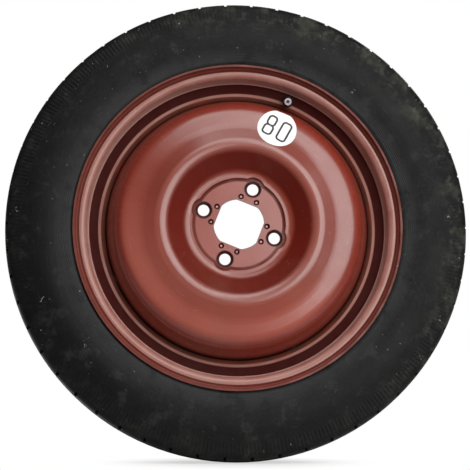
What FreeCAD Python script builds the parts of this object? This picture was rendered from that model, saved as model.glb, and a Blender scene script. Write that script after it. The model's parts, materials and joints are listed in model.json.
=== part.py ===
import FreeCAD, Part

import math
import os

import Sketcher

# Temporary spare wheel: a narrow tyre on a rolled steel rim, with a pressed disc that bolts to a car's hub.
# The origin is the centre of the disc's mounting face. +Y points along the axle into the car, so the
# visible face looks towards -Y, and +Z is up. Lengths are millimetres and angles are degrees.

DRIVING = {
    # Tyre
    "tyre_diameter": 619.0,
    "tyre_width": 127.0,
    "tread_width": 100.0,
    "tread_drop": 4.7,
    "tread_thickness": 13.0,
    "crown_width": 44.0,
    "sidewall_thickness": 8.5,
    "sidewall_share": 0.42,
    "sidewall_bulge": 2.0,
    "bead_width": 17.0,
    "bead_share": 0.14,
    "bead_clearance": 0.15,
    "groove_width": 6.0,
    "groove_depth": 5.0,
    "groove_pitch": 24.0,
    "notch_count": 54,
    "notch_width": 4.0,
    "notch_length": 15.0,
    "notch_depth": 3.0,
    # Rim
    "rim_diameter": 405.6,
    "rim_width": 101.6,
    "rim_sheet": 2.8,
    "flange_height": 14.5,
    "flange_depth": 10.0,
    "flange_curl": 8.0,
    "flange_wrap": 42.0,
    "seat_length": 19.6,
    "seat_taper": 5.0,
    "seat_fillet": 4.5,
    "hump_fillet": 7.0,
    "well_depth": 24.0,
    "well_angle": 18.0,
    "well_fillet": 5.0,
    "wheel_offset": 57.0,
    # Disc
    "disc_sheet": 4.0,
    "disc_clearance": 0.1,
    "disc_edge_past": 4.0,
    "hub_hole_width": 60.0,
    "hub_hole_bulge": 3.4,
    "hub_hole_blend": 7.0,
    "hub_face_margin": 11.0,
    "hub_step": 2.2,
    "bolt_circle": 100.0,
    "bolt_angle": 68.5,
    "bolt_hole": 15.0,
    "bolt_seat": 22.0,
    "bolt_seat_cone": 90.0,
    "lobe_radius": 15.4,
    "dimple_margin": 7.0,
    "dimple_spread": 17.2,
    "dimple_width": 7.0,
    "dimple_floor": 3.4,
    "dimple_depth": 1.6,
    "ledge_width": 9.0,
    "ledge_bend": 15.0,
    "crest_inner_share": 0.262,
    "crest_outer_share": 0.356,
    "crest_height": 28.0,
    "shelf_inner_share": 0.561,
    "shelf_inner_height": 19.0,
    "shelf_outer_share": 0.842,
    "shelf_outer_height": 14.0,
    "skirt_start": 30.0,
    "skirt_bend": 12.0,
    "weld_count": 8,
    "weld_arc": 13.0,
    "weld_leg": 5.0,
    # Valve, along its own axis from the rim's outer face
    "valve_share": 0.47,
    "valve_hole": 11.5,
    "valve_foot_lip": 2.1,
    "valve_foot_depth": 8.0,
    "valve_shoulder_lip": 1.6,
    "valve_shoulder_length": 4.0,
    "valve_neck_wall": 1.4,
    "valve_neck_gap": 0.6,
    "valve_clearance": 0.15,
    "stem_width": 7.7,
    "stem_length": 31.0,
    "stem_mouth": 5.24,
    "stem_bore": 4.2,
    "core_clearance": 0.03,
    "core_recess": 0.6,
    "plug_length": 5.5,
    "plug_key_width": 1.9,
    "plug_key_length": 2.6,
    "plug_bore": 1.2,
    "barrel_width": 3.4,
    "barrel_wall": 0.4,
    "barrel_length": 12.8,
    "gasket_length": 2.0,
    "pin_width": 0.9,
    "pin_recess": 0.3,
    "pin_collar": 2.2,
    "pin_collar_length": 0.8,
    "pin_collar_gap": 1.4,
    "pin_foot": 3.0,
    "pin_foot_length": 1.0,
    "pin_seal_length": 0.8,
    "spring_wire": 0.3,
    "spring_turns": 6,
    "cap_wall": 0.92,
    "cap_length": 13.0,
    "cap_clearance": 0.08,
    "cap_top": 2.4,
    "cap_recess": 4.2,
    "cap_recess_depth": 1.1,
    "cap_flutes": 10,
    "cap_flute_width": 1.3,
    "seal_thickness": 1.2,
    "seal_bore": 4.6,
    # Sticker
    "sticker_width": 52.5,
    "sticker_shift": 5.0,
    "sticker_lean": 15.0,
    "sticker_sheet": 0.2,
    "sticker_gap": 0.06,
}

VECTOR = FreeCAD.Vector
FULL_TURN = 360.0
QUARTER_TURN = 90.0

doc = FreeCAD.newDocument("SpareWheel")
sheet = doc.addObject("Spreadsheet::Sheet", "Sizes")
for row, (alias, number) in enumerate(DRIVING.items(), start=1):
    sheet.set(f"A{row}", str(number))
    sheet.setAlias(f"A{row}", alias)
doc.recompute()


class Size:
    """A number together with the expression that binds it to the spreadsheet."""

    def __init__(self, number, text):
        self.number = number
        self.text = text

    def __add__(self, other):
        other = as_size(other)
        return Size(self.number + other.number, f"({self.text} + {other.text})")

    def __sub__(self, other):
        other = as_size(other)
        return Size(self.number - other.number, f"({self.text} - {other.text})")

    def __mul__(self, other):
        other = as_size(other)
        return Size(self.number * other.number, f"({self.text} * {other.text})")

    def __truediv__(self, other):
        other = as_size(other)
        return Size(self.number / other.number, f"({self.text} / {other.text})")

    def __neg__(self):
        return Size(-self.number, f"(0 - {self.text})")


def as_size(value):
    return value if isinstance(value, Size) else Size(float(value), repr(float(value)))


def size(alias):
    return Size(float(sheet.get(alias)), f"Sizes.{alias}")


def sine(angle):
    return Size(math.sin(math.radians(angle.number)), f"sin({angle.text})")


def cosine(angle):
    return Size(math.cos(math.radians(angle.number)), f"cos({angle.text})")


def tangent(angle):
    return Size(math.tan(math.radians(angle.number)), f"tan({angle.text})")


def root(value):
    return Size(math.sqrt(value.number), f"sqrt({value.text})")


ZERO = as_size(0)


# Sketch helpers

def new_body(label):
    body = doc.addObject("PartDesign::Body", label)
    body.Label = label
    return body


def origin_feature(body, role):
    return next(feature for feature in body.Origin.OriginFeatures if feature.Role == role)


def new_sketch(body, name, role="XY_Plane", lift=None):
    sketch = body.newObject("Sketcher::SketchObject", name)
    sketch.AttachmentSupport = [(origin_feature(body, role), "")]
    sketch.MapMode = "FlatFace"
    if lift is not None:
        sketch.setExpression("AttachmentOffset.Base.z", lift.text)
    return sketch


def bind(sketch, constraint, value):
    index = sketch.addConstraint(constraint)
    sketch.setExpression(f"Constraints[{index}]", value.text)


def fix_point(sketch, geometry, end, x, y):
    bind(sketch, Sketcher.Constraint("DistanceX", -1, 1, geometry, end, x.number), x)
    bind(sketch, Sketcher.Constraint("DistanceY", -1, 1, geometry, end, y.number), y)


def join(sketch, first, first_end, second, second_end):
    sketch.addConstraint(Sketcher.Constraint("Coincident", first, first_end, second, second_end))


def smooth(sketch, first, first_end, second, second_end):
    sketch.addConstraint(Sketcher.Constraint("Tangent", first, first_end, second, second_end))


def round_arc(sketch, centre, radius, start, stop):
    ring = Part.Circle(centre, VECTOR(0, 0, 1), radius.number)
    return sketch.addGeometry(Part.ArcOfCircle(ring, start, stop), False)


def unit(start, end):
    step = end - start
    return step / step.Length


def turns_left(before, corner, after):
    return unit(before, corner).cross(unit(corner, after)).z > 0


def tangent_length(before, corner, after, radius):
    turn = unit(before, corner).getAngle(unit(corner, after))
    return radius * math.tan(turn / 2)


def add_arc(sketch, before, corner, after, radius):
    """Draw the arc that rounds a corner; return it with the ends where the path enters and leaves."""
    reach = tangent_length(before, corner, after, radius)
    enter = corner - unit(before, corner) * reach
    leave = corner + unit(corner, after) * reach
    left = turns_left(before, corner, after)
    ahead = unit(before, corner)
    inward = VECTOR(-ahead.y, ahead.x, 0) if left else VECTOR(ahead.y, -ahead.x, 0)
    centre = enter + inward * radius
    first, last = (enter, leave) if left else (leave, enter)
    start = math.atan2(first.y - centre.y, first.x - centre.x)
    stop = math.atan2(last.y - centre.y, last.x - centre.x)
    arc = round_arc(sketch, centre, as_size(radius), start, stop)
    return (arc, 1, 2) if left else (arc, 2, 1)


def draw_path(sketch, points, radii, closed):
    """Draw straight runs between points, round the corners that have a radius, and return the runs."""
    count = len(points)
    runs = []
    for index in range(count if closed else count - 1):
        ahead = (index + 1) % count
        start = points[index]
        end = points[ahead]
        if radii[index]:
            behind = points[index - 1]
            start = start + unit(start, end) * tangent_length(behind, start, end, radii[index].number)
        if radii[ahead]:
            beyond = points[(ahead + 1) % count]
            reach = tangent_length(points[index], end, beyond, radii[ahead].number)
            end = end - unit(points[index], end) * reach
        runs.append(sketch.addGeometry(Part.LineSegment(start, end), False))
    for index in range(count):
        if not closed and index in (0, count - 1):
            continue
        before = runs[index - 1]
        after = runs[index]
        if not radii[index]:
            join(sketch, before, 2, after, 1)
            continue
        neighbours = (points[index - 1], points[index], points[(index + 1) % count])
        arc, enter, leave = add_arc(sketch, *neighbours, radii[index].number)
        smooth(sketch, before, 2, arc, enter)
        smooth(sketch, arc, leave, after, 1)
        bind(sketch, Sketcher.Constraint("Radius", arc, radii[index].number), radii[index])
    return runs


def split_corners(corners):
    xs = [corner[0] for corner in corners]
    ys = [corner[1] for corner in corners]
    radii = [corner[2] if len(corner) > 2 else None for corner in corners]
    points = [VECTOR(x.number, y.number, 0) for x, y in zip(xs, ys)]
    return xs, ys, radii, points


def place_corner(sketch, x, y, before, after):
    """Hold the meeting point of two runs that a fillet has trimmed."""
    point = sketch.addGeometry(Part.Point(VECTOR(x.number, y.number, 0)), True)
    fix_point(sketch, point, 1, x, y)
    sketch.addConstraint(Sketcher.Constraint("PointOnObject", point, 1, before))
    sketch.addConstraint(Sketcher.Constraint("PointOnObject", point, 1, after))


def outline(sketch, corners):
    """A closed outline through corners of the form (x, y) or (x, y, fillet radius)."""
    xs, ys, radii, points = split_corners(corners)
    runs = draw_path(sketch, points, radii, True)
    for index, run in enumerate(runs):
        if radii[index]:
            place_corner(sketch, xs[index], ys[index], runs[index - 1], run)
        else:
            fix_point(sketch, run, 1, xs[index], ys[index])


def sheet_outline(sketch, corners, thickness, left):
    """The section of a bent sheet: one face runs through the corners, the other lies a thickness away."""
    xs, ys, radii, points = split_corners(corners)
    last = len(points) - 1
    face = draw_path(sketch, points, radii, False)
    fix_point(sketch, face[0], 1, xs[0], ys[0])
    fix_point(sketch, face[-1], 2, xs[last], ys[last])
    for index in range(1, last):
        place_corner(sketch, xs[index], ys[index], face[index - 1], face[index])
    side = 1 if left else -1
    normals = []
    for start, end in zip(points, points[1:]):
        ahead = unit(start, end)
        normals.append(VECTOR(-ahead.y, ahead.x, 0) * side)
    back_points = [points[0] + normals[0] * thickness.number]
    back_radii = [None]
    for index in range(1, last):
        before, after = normals[index - 1], normals[index]
        back_points.append(points[index] + (before + after) * (thickness.number / (1 + before.dot(after))))
        inside = turns_left(*points[index - 1:index + 2]) == left
        back_radii.append(radii[index] - thickness if inside else radii[index] + thickness)
    back_points.append(points[last] + normals[-1] * thickness.number)
    back_radii.append(None)
    back = draw_path(sketch, back_points, back_radii, False)
    for front_run, back_run in zip(face, back):
        sketch.addConstraint(Sketcher.Constraint("Parallel", front_run, back_run))
        bind(sketch, Sketcher.Constraint("Distance", back_run, 1, front_run, thickness.number), thickness)
    for index, end in ((0, 1), (-1, 2)):
        pair = (points[index], back_points[index])
        edge = sketch.addGeometry(Part.LineSegment(*pair), False)
        join(sketch, edge, 1, face[index], end)
        join(sketch, edge, 2, back[index], end)
        sketch.addConstraint(Sketcher.Constraint("Perpendicular", edge, face[index]))


def circle(sketch, x, y, radius):
    round_line = Part.Circle(VECTOR(x.number, y.number, 0), VECTOR(0, 0, 1), radius.number)
    ring = sketch.addGeometry(round_line, False)
    bind(sketch, Sketcher.Constraint("Radius", ring, radius.number), radius)
    fix_point(sketch, ring, 3, x, y)


# Feature helpers

def revolve(body, sketch, name, kind="PartDesign::Revolution"):
    feature = body.newObject(kind, name)
    feature.Profile = sketch
    feature.ReferenceAxis = (sketch, ["V_Axis"])
    feature.Angle = FULL_TURN
    doc.recompute()
    return feature


def extrude(body, sketch, name, kind, length, reverse=False, both_ways=False):
    feature = body.newObject(kind, name)
    feature.Profile = sketch
    feature.setExpression("Length", length.text)
    feature.Reversed = reverse
    feature.Midplane = both_ways
    doc.recompute()
    return feature


def repeat_round(body, features, name, count):
    pattern = body.newObject("PartDesign::PolarPattern", name)
    pattern.Originals = features
    pattern.Axis = (origin_feature(body, "Y_Axis"), [""])
    pattern.Angle = FULL_TURN
    pattern.setExpression("Occurrences", count.text)
    body.Tip = pattern
    doc.recompute()
    return pattern


def turned_body(label, corners):
    """A body turned about its own Y axis from a closed half section."""
    body = new_body(label)
    section = new_sketch(body, f"{label}_section")
    outline(section, corners)
    revolve(body, section, f"{label}_turning")
    return body


def turn_text(x, y, z, angle):
    return f"create(<<rotation>>; create(<<vector>>; {x}; {y}; {z}); {angle.text})"


def place_text(x, y, z, turn):
    return f"create(<<placement>>; create(<<vector>>; {x.text}; {y.text}; {z.text}); {turn})"


def on_wheel(angle, radius, depth, lean):
    """The place at an angle and radius on the wheel whose own -Y axis leans outwards by an angle."""
    around = place_text(ZERO, ZERO, ZERO, turn_text(0, 1, 0, -angle))
    out = place_text(radius, depth, ZERO, turn_text(0, 0, 1, lean))
    return f"{around} * {out}"


def face_on(lift):
    """Turn an axis that points along Z to point along -Y, and slide it by a length."""
    return place_text(ZERO, -lift, ZERO, turn_text(1, 0, 0, as_size(QUARTER_TURN)))


# Sizes that several pieces share

middle = size("wheel_offset")
thickness = size("rim_sheet")
seat_radius = size("rim_diameter") / 2
lip_radius = seat_radius + size("flange_height")
half_rim = size("rim_width") / 2
seat_end_radius = seat_radius - size("seat_length") * tangent(size("seat_taper"))
seat_end = half_rim - size("seat_length")
well_radius = seat_radius - size("well_depth")
well_half = seat_end - (seat_end_radius - well_radius) * tangent(size("well_angle"))
disc_sheet = size("disc_sheet")
face_level = disc_sheet + size("hub_step")
disc_edge = middle + size("disc_edge_past")
skirt_radius = well_radius - thickness - size("disc_clearance")
hub_face_radius = size("bolt_circle") / 2 + size("hub_face_margin")
ledge_radius = hub_face_radius + size("ledge_width")
disc_span = skirt_radius - ledge_radius
crest_inner = ledge_radius + disc_span * size("crest_inner_share")
crest_outer = ledge_radius + disc_span * size("crest_outer_share")
shelf_inner = ledge_radius + disc_span * size("shelf_inner_share")
shelf_outer = ledge_radius + disc_span * size("shelf_outer_share")
crest_bend = (crest_outer - crest_inner) * 1.75
shelf_bend = (shelf_inner - crest_outer) * 2
shoulder_bend = (shelf_outer - shelf_inner) * 0.75
bolt_x = size("bolt_circle") / 2 * cosine(size("bolt_angle"))
bolt_z = size("bolt_circle") / 2 * sine(size("bolt_angle"))
four = as_size(4)


# Rim: a rolled band, drawn along the face that carries the tyre

def make_rim():
    body = new_body("rim")
    section = new_sketch(body, "rim_section")
    outer_half = [
        (lip_radius, half_rim + size("flange_depth")),
        (lip_radius, half_rim, size("flange_curl")),
        (seat_radius, half_rim, size("seat_fillet")),
        (seat_end_radius, seat_end, size("hump_fillet")),
        (well_radius, well_half, size("well_fillet")),
    ]
    front = [(corner[0], middle - corner[1], *corner[2:]) for corner in outer_half]
    back = [(corner[0], middle + corner[1], *corner[2:]) for corner in reversed(outer_half)]
    sheet_outline(section, front + back, thickness, True)
    revolve(body, section, "rim_rolling")
    hole = body.newObject("PartDesign::SubtractiveCylinder", "valve_hole")
    hole.setExpression("Radius", (size("valve_hole") / 2).text)
    hole.setExpression("Height", (thickness * 4).text)
    hole.setExpression("Placement", f"{valve_site} * {face_on(-thickness * 3)}")
    doc.recompute()
    return body


# Tyre: one moulded horseshoe section with straight grooves and shoulder notches

def tyre_half():
    """Corners from the bead's toe round the outside to the crown, then those of the hollow inside."""
    gap = size("bead_clearance")
    curl = size("flange_curl")
    wrap = size("flange_wrap")
    crown = size("tyre_diameter") / 2
    wall = half_rim - gap
    wrap_radius = lip_radius - curl + (curl + gap) * tangent(wrap / 2)
    rise = curl * 1.4
    shoulder = size("tread_width") / 2 + size("tread_drop")
    bulge = size("tyre_width") / 2 + size("sidewall_bulge")
    height = crown - lip_radius
    widest = lip_radius + height * size("sidewall_share")
    bead_rise = (crown - seat_radius) * size("bead_share")
    toe_width = half_rim - size("bead_width")
    toe_radius = seat_radius + gap - size("bead_width") * tangent(size("seat_taper"))
    outside = [
        (toe_radius, toe_width),
        (seat_radius + gap, wall, size("seat_fillet") + gap * 3),
        (wrap_radius, wall, curl + gap),
        (wrap_radius + rise * cosine(wrap), wall + rise * sine(wrap), curl),
        (widest, bulge, height * 0.75),
        (crown - size("tread_drop"), shoulder, height * 0.13),
        (crown, size("crown_width") / 2, height * 2),
    ]
    lining = size("sidewall_thickness")
    hollow = [
        (crown - size("tread_thickness"), shoulder - lining, height * 0.18),
        (widest, bulge - lining, height * 0.5),
        (seat_radius + bead_rise * 2, toe_width + size("bead_width"), bead_rise),
        (seat_radius + bead_rise, toe_width + size("bead_width") / 4, bead_rise * 0.7),
    ]
    return outside, hollow


def make_tyre():
    body = new_body("tyre")
    section = new_sketch(body, "tyre_section")
    outside, hollow = tyre_half()
    corners = [(corner[0], middle - corner[1], *corner[2:]) for corner in outside]
    corners += [(corner[0], middle + corner[1], *corner[2:]) for corner in reversed(outside)]
    corners += [(corner[0], middle + corner[1], *corner[2:]) for corner in reversed(hollow)]
    corners += [(corner[0], middle - corner[1], *corner[2:]) for corner in hollow]
    outline(section, corners)
    revolve(body, section, "tyre_moulding")
    crown = size("tyre_diameter") / 2
    over = crown + size("groove_depth")
    grooves = new_sketch(body, "tread_groove_sections")
    for step in (-1, 0, 1):
        centre = middle + size("groove_pitch") * step
        half = size("groove_width") / 2
        root_half = half * 0.7
        outline(grooves, [
            (crown - size("groove_depth"), centre - root_half),
            (over, centre - half * 1.3),
            (over, centre + half * 1.3),
            (crown - size("groove_depth"), centre + root_half),
        ])
    revolve(body, grooves, "tread_grooves", "PartDesign::Groove")
    edge = size("tread_width") / 2 + size("tread_drop")
    floor = crown - size("tread_drop") - size("notch_depth")
    notches = new_sketch(body, "shoulder_notch_sections")
    for side in (-1, 1):
        inner = middle + (edge - size("notch_length")) * side
        outer = middle + (edge + size("notch_length")) * side
        outline(notches, [(floor, outer), (over, outer), (over, inner), (floor, inner)])
    width = size("notch_width")
    cut = extrude(body, notches, "shoulder_notch", "PartDesign::Pocket", width, both_ways=True)
    repeat_round(body, [cut], "shoulder_notches", size("notch_count"))
    return body


# Disc: pressed sheet, drawn along its visible face from the hub out to the skirt inside the rim

def disc_corners(lift):
    return [
        (crest_outer, -(size("crest_height") + lift), crest_bend),
        (shelf_inner, -(size("shelf_inner_height") + lift), shelf_bend),
        (shelf_outer, -(size("shelf_outer_height") + lift), shoulder_bend),
    ]


def make_disc():
    body = new_body("wheel_disc")
    section = new_sketch(body, "disc_section")
    corners = [
        (size("hub_hole_width") / 4, -face_level),
        (ledge_radius, -face_level, size("ledge_bend")),
        (crest_inner, -size("crest_height"), crest_bend),
    ]
    corners += disc_corners(ZERO)
    corners += [
        (skirt_radius, size("skirt_start"), size("skirt_bend")),
        (skirt_radius, disc_edge),
    ]
    sheet_outline(section, corners, disc_sheet, True)
    revolve(body, section, "disc_pressing")
    make_hub_face(body)
    make_hub_hole(body)
    make_bolt_holes(body)
    make_dimples(body)
    return body


def make_hub_face(body):
    """Press the hub face back by the step: a recess in front, a pad behind, and a lobe at each bolt."""
    step = size("hub_step")
    pad_section = new_sketch(body, "pad_section", "XZ_Plane", step)
    circle(pad_section, ZERO, ZERO, hub_face_radius)
    extrude(body, pad_section, "mounting_pad", "PartDesign::Pad", step, reverse=True)
    pad_lobe_section = new_sketch(body, "pad_lobe_section", "XZ_Plane", step)
    circle(pad_lobe_section, bolt_x, bolt_z, size("lobe_radius"))
    pad_lobe = extrude(body, pad_lobe_section, "pad_lobe", "PartDesign::Pad", step, reverse=True)
    repeat_round(body, [pad_lobe], "pad_lobes", four)
    recess_section = new_sketch(body, "recess_section", "XZ_Plane", disc_sheet)
    circle(recess_section, ZERO, ZERO, hub_face_radius)
    extrude(body, recess_section, "hub_recess", "PartDesign::Pocket", step, reverse=True)
    lobe_section = new_sketch(body, "recess_lobe_section", "XZ_Plane", disc_sheet)
    circle(lobe_section, bolt_x, bolt_z, size("lobe_radius"))
    lobe = extrude(body, lobe_section, "recess_lobe", "PartDesign::Pocket", step, reverse=True)
    repeat_round(body, [lobe], "recess_lobes", four)


def make_hub_hole(body):
    """Cut the centre hole: four flats that face the bolts, blended into arcs about the axle."""
    sketch = new_sketch(body, "hub_hole_section", "XZ_Plane")
    flat = size("hub_hole_width") / 2
    corner = flat + size("hub_hole_bulge")
    blend = size("hub_hole_blend")
    half = root((corner - flat) * (corner + flat - blend * 2))
    flats, blends_in, blends_out, corners = [], [], [], []
    for quarter in range(4):
        turn = size("bolt_angle") + QUARTER_TURN * quarter
        out_x, out_z = cosine(turn), sine(turn)
        start = (flat * out_x + half * out_z, flat * out_z - half * out_x)
        end = (flat * out_x - half * out_z, flat * out_z + half * out_x)
        pair = [VECTOR(x.number, z.number, 0) for x, z in (start, end)]
        run = sketch.addGeometry(Part.LineSegment(*pair), False)
        fix_point(sketch, run, 1, *start)
        fix_point(sketch, run, 2, *end)
        flats.append(run)
        facing = math.radians(turn.number)
        lean = math.atan2(half.number, flat.number - blend.number)
        outward = VECTOR(math.cos(facing), math.sin(facing), 0)
        blends_in.append(round_arc(sketch, pair[0] - outward * blend.number, blend, facing - lean, facing))
        blends_out.append(round_arc(sketch, pair[1] - outward * blend.number, blend, facing, facing + lean))
        next_lean = facing + math.pi / 2 - lean
        corners.append(round_arc(sketch, VECTOR(), corner, facing + lean, next_lean))
    for quarter in range(4):
        arc = corners[quarter]
        join(sketch, arc, 3, -1, 1)
        bind(sketch, Sketcher.Constraint("Radius", arc, corner.number), corner)
        smooth(sketch, blends_in[quarter], 2, flats[quarter], 1)
        smooth(sketch, flats[quarter], 2, blends_out[quarter], 1)
        smooth(sketch, blends_out[quarter], 2, arc, 1)
        smooth(sketch, arc, 2, blends_in[(quarter + 1) % 4], 1)
    extrude(body, sketch, "hub_hole", "PartDesign::Pocket", size("crest_height") * 2, both_ways=True)


def make_bolt_holes(body):
    """Drill one bolt hole with its conical seat and repeat it about the axle."""
    sketch = new_sketch(body, "bolt_hole_centre", "XZ_Plane", disc_sheet)
    circle(sketch, bolt_x, bolt_z, size("bolt_hole") / 2)
    doc.recompute()
    hole = body.newObject("PartDesign::Hole", "bolt_hole")
    hole.Profile = sketch
    hole.Threaded = False
    hole.DepthType = "ThroughAll"
    hole.setExpression("Diameter", size("bolt_hole").text)
    hole.HoleCutType = "Countersink"
    hole.setExpression("HoleCutDiameter", size("bolt_seat").text)
    hole.setExpression("HoleCutCountersinkAngle", size("bolt_seat_cone").text)
    doc.recompute()
    repeat_round(body, [hole], "bolt_holes", four)


def make_dimples(body):
    """Sink a pair of small round dimples beside each bolt hole."""
    pair = []
    for side in (-1, 1):
        dimple = body.newObject("PartDesign::SubtractiveCone", "dimple")
        dimple.setExpression("Radius1", (size("dimple_floor") / 2).text)
        dimple.setExpression("Radius2", (size("dimple_width") / 2).text)
        dimple.setExpression("Height", size("dimple_depth").text)
        angle = size("bolt_angle") + size("dimple_spread") * side
        site = on_wheel(angle, size("hub_hole_width") / 2 + size("dimple_margin"), -disc_sheet, ZERO)
        dimple.setExpression("Placement", f"{site} * {face_on(-size('dimple_depth'))}")
        pair.append(dimple)
    doc.recompute()
    repeat_round(body, pair, "dimples", four)


# Welds: short beads in the corner between the disc's edge and the rim's well

def make_welds():
    bead_section = doc.addObject("Sketcher::SketchObject", "weld_section")
    leg = size("weld_leg")
    wall = skirt_radius
    end = disc_edge + size("disc_clearance")
    outline(bead_section, [(wall, end), (wall, end + leg), (wall - disc_sheet, end)])
    beads = []
    spacing = as_size(FULL_TURN) / size("weld_count")
    for index in range(int(DRIVING["weld_count"])):
        bead = doc.addObject("Part::Revolution", "weld_bead")
        bead.Source = bead_section
        bead.Axis = VECTOR(0, 1, 0)
        bead.Solid = True
        bead.setExpression("Angle", size("weld_arc").text)
        bead.setExpression("Placement", place_text(ZERO, ZERO, ZERO, turn_text(0, 1, 0, spacing * index)))
        beads.append(bead)
    welds = doc.addObject("Part::Compound", "rim_disc_welds")
    welds.Links = beads
    return welds


# Valve: turned pieces on one axis, drawn outwards from the rim's face towards -Y

def valve_corners(corners):
    return [(corner[0], -corner[1], *corner[2:]) for corner in corners]


def valve_piece(label, corners):
    body = turned_body(label, valve_corners(corners))
    body.setExpression("Placement", valve_site)
    return body


stem_radius = size("stem_width") / 2
stem_top = size("stem_length")
mouth_radius = size("stem_mouth") / 2
bore_radius = size("stem_bore") / 2
core_gap = size("core_clearance")
plug_top = stem_top - size("core_recess")
plug_foot = plug_top - size("plug_length")
barrel_top = plug_foot - core_gap
barrel_foot = barrel_top - size("barrel_length")
barrel_radius = size("barrel_width") / 2
barrel_inside = barrel_radius - size("barrel_wall")
barrel_floor = barrel_foot + size("barrel_wall") * 2
mouth_foot = plug_foot - size("gasket_length")
collar_top = barrel_top - size("pin_collar_gap")
collar_foot = collar_top - size("pin_collar_length")
pin_radius = size("pin_width") / 2
seal_top = stem_top + size("seal_thickness") + core_gap
cap_end = seal_top + core_gap + size("cap_top")
cap_foot = cap_end - size("cap_length")
valve_radius = well_radius + (seat_end_radius - well_radius) * size("valve_share")
well_face = well_half + (valve_radius - well_radius) * tangent(size("well_angle"))
valve_depth = middle - well_face - thickness / cosine(size("well_angle"))
valve_site = on_wheel(size("bolt_angle"), valve_radius, valve_depth, -size("well_angle"))


def make_valve_body():
    """Rubber snap-in valve: a foot inside the rim, a groove round the hole and a tapered neck outside."""
    bore = stem_radius + core_gap
    gap = size("valve_clearance")
    groove = (size("valve_hole") - gap) / 2
    inner = -(thickness + gap)
    foot = inner - size("valve_foot_depth")
    lip = size("valve_hole") / 2 + size("valve_foot_lip")
    shoulder = size("valve_hole") / 2 + size("valve_shoulder_lip")
    neck = bore + size("valve_neck_wall")
    length = cap_foot - size("valve_neck_gap")
    return valve_piece("valve_body", [
        (bore, foot),
        (groove, foot, as_size(1)),
        (lip, inner - size("valve_foot_depth") / 3, as_size(1)),
        (lip, inner),
        (groove, inner),
        (groove, gap),
        (shoulder, gap),
        (shoulder, size("valve_shoulder_length"), as_size(2)),
        (neck, length - size("valve_shoulder_length"), as_size(4)),
        (neck, length, as_size(0.5)),
        (bore, length),
    ])


def make_valve_stem():
    taper_foot = mouth_foot - (mouth_radius - bore_radius) * 2
    foot = -(thickness + size("valve_clearance") + size("valve_foot_depth") / 2)
    return valve_piece("valve_stem", [
        (bore_radius, foot),
        (stem_radius, foot),
        (stem_radius, stem_top, as_size(0.3)),
        (mouth_radius, stem_top),
        (mouth_radius, mouth_foot),
        (bore_radius, taper_foot),
    ])


def make_core_plug():
    """Threaded top of the core, cut away on two sides so that a key can turn it."""
    body = new_body("core_plug")
    section = new_sketch(body, "core_plug_section")
    radius = mouth_radius - core_gap
    bore = size("plug_bore") / 2
    outline(section, valve_corners([
        (bore, plug_foot),
        (radius, plug_foot),
        (radius, plug_top),
        (bore, plug_top),
    ]))
    revolve(body, section, "core_plug_turning")
    flats = new_sketch(body, "key_flats_section")
    key = size("plug_key_width") / 2
    foot = plug_top - size("plug_key_length")
    beyond = radius * 1.2
    for side in (-1, 1):
        outline(flats, valve_corners([
            (key * side, foot),
            (beyond * side, foot),
            (beyond * side, plug_top + core_gap),
            (key * side, plug_top + core_gap),
        ]))
    extrude(body, flats, "key_flats", "PartDesign::Pocket", radius * 3, both_ways=True)
    body.setExpression("Placement", valve_site)
    return body


def make_core_barrel():
    return valve_piece("core_barrel", [
        (size("plug_bore") / 2, barrel_foot),
        (barrel_radius, barrel_foot),
        (barrel_radius, barrel_top),
        (barrel_inside, barrel_top),
        (barrel_inside, barrel_floor),
        (size("plug_bore") / 2, barrel_floor),
    ])


def make_core_gasket():
    """Tapered ring between the barrel and the cone at the foot of the stem's mouth."""
    inside = barrel_radius + core_gap
    foot = mouth_foot - (mouth_radius - bore_radius) + core_gap * 4
    half_way = (mouth_radius + bore_radius) / 2 - core_gap
    return valve_piece("core_gasket", [
        (inside, foot),
        (half_way, foot),
        (mouth_radius - core_gap, mouth_foot + core_gap * 4),
        (mouth_radius - core_gap, foot + size("gasket_length")),
        (inside, foot + size("gasket_length")),
    ])


def make_core_pin():
    foot_top = barrel_foot - size("pin_seal_length") - core_gap * 2
    foot = foot_top - size("pin_foot_length")
    collar = size("pin_collar") / 2
    return valve_piece("core_pin", [
        (ZERO, foot),
        (size("pin_foot") / 2, foot),
        (size("pin_foot") / 2, foot_top),
        (pin_radius, foot_top),
        (pin_radius, collar_foot),
        (collar, collar_foot),
        (collar, collar_top),
        (pin_radius, collar_top),
        (pin_radius, plug_top - size("pin_recess")),
        (ZERO, plug_top - size("pin_recess")),
    ])


def make_pin_seal():
    top = barrel_foot - core_gap
    return valve_piece("pin_seal", [
        (pin_radius + core_gap, top - size("pin_seal_length")),
        (size("pin_foot") / 2, top - size("pin_seal_length")),
        (size("pin_foot") / 2, top),
        (pin_radius + core_gap, top),
    ])


def make_core_spring():
    """Coil of round wire about the pin, between the barrel's floor and the pin's collar."""
    wire = size("spring_wire").number
    coil = (pin_radius.number + barrel_inside.number) / 2
    low = barrel_floor.number + wire / 2 + core_gap.number
    high = collar_foot.number - wire / 2 - core_gap.number
    sides = 10
    steps = int(DRIVING["spring_turns"] * sides)
    points = []
    for step in range(steps + 1):
        turn = 2 * math.pi * step / sides
        height = low + (high - low) * step / steps
        points.append(VECTOR(coil * math.cos(turn), -height, coil * math.sin(turn)))
    path = Part.makePolygon(points)
    corners = []
    ahead = unit(points[0], points[1])
    outward = VECTOR(1, 0, 0)
    upward = ahead.cross(outward)
    for side in range(6):
        turn = 2 * math.pi * side / 6
        corners.append(points[0] + (outward * math.cos(turn) + upward * math.sin(turn)) * (wire / 2))
    profile = Part.makePolygon(corners + corners[:1])
    pipe = Part.BRepOffsetAPI.MakePipeShell(path)
    pipe.setTransitionMode(1)
    pipe.add(profile)
    pipe.build()
    pipe.makeSolid()
    spring = doc.addObject("Part::Feature", "core_spring")
    spring.Shape = pipe.shape()
    spring.setExpression("Placement", valve_site)
    return spring


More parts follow.
